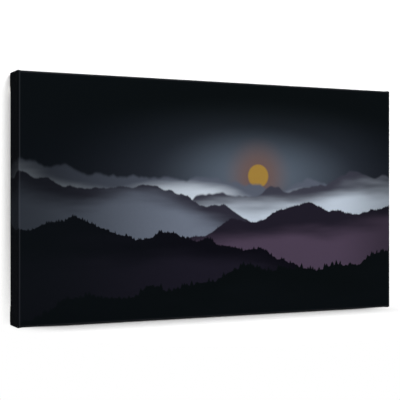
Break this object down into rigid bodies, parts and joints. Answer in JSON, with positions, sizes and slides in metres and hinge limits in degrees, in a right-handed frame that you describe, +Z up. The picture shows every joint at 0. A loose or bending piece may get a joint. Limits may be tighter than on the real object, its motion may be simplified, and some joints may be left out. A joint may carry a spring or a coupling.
{
  "type": "stretched canvas print",
  "caption": "Wide picture printed on canvas, stretched over a deep keyed pine frame, folded and stapled at the back, with D-ring hangers and wall bumpers.",
  "frame": {"origin": "bottom centre of the whole part, level with the lower corner folds it stands on", "axes": "+X to the picture's right seen from the front, +Y from the printed face to the back, +Z up"},
  "size_m": [0.6008, 0.0464, 0.3427],
  "materials": {
    "printed_canvas": "satin printed cotton canvas, dark slate overall",
    "pine": "planed bare pine",
    "beech": "sawn bare beech",
    "staple_steel": "galvanised wire",
    "plated_steel": "nickel-plated steel",
    "bumper_rubber": "soft matt rubber"
  },
  "bodies": {
    "panel": {"canvas": "printed_canvas", "bar_top": "pine", "bar_bottom": "pine", "bar_left": "pine", "bar_right": "pine", "key_top_left_upright": "beech", "key_top_left_level": "beech", "key_top_right_upright": "beech", "key_top_right_level": "beech", "key_bottom_left_upright": "beech", "key_bottom_left_level": "beech", "key_bottom_right_upright": "beech", "key_bottom_right_level": "beech", "staples_top": "staple_steel", "staples_bottom": "staple_steel", "staples_left": "staple_steel", "staples_right": "staple_steel", "hanger_strap_left": "plated_steel", "hanger_strap_right": "plated_steel", "hanger_screw_left": "plated_steel", "hanger_screw_right": "plated_steel", "bumper_left": "bumper_rubber", "bumper_right": "bumper_rubber"},
    "ring_left": {"hanger_ring_left": "plated_steel"},
    "ring_right": {"hanger_ring_right": "plated_steel"}
  },
  "joints": [
    {"name": "ring_left_swing", "type": "hinge", "parent": "panel", "child": "ring_left", "pos_m": [-0.269, 0.01953, 0.25635], "axis": [1, 0, 0], "range_deg": [0, 177]},
    {"name": "ring_right_swing", "type": "hinge", "parent": "panel", "child": "ring_right", "pos_m": [0.269, 0.01953, 0.25635], "axis": [1, 0, 0], "range_deg": [0, 177]}
  ]
}
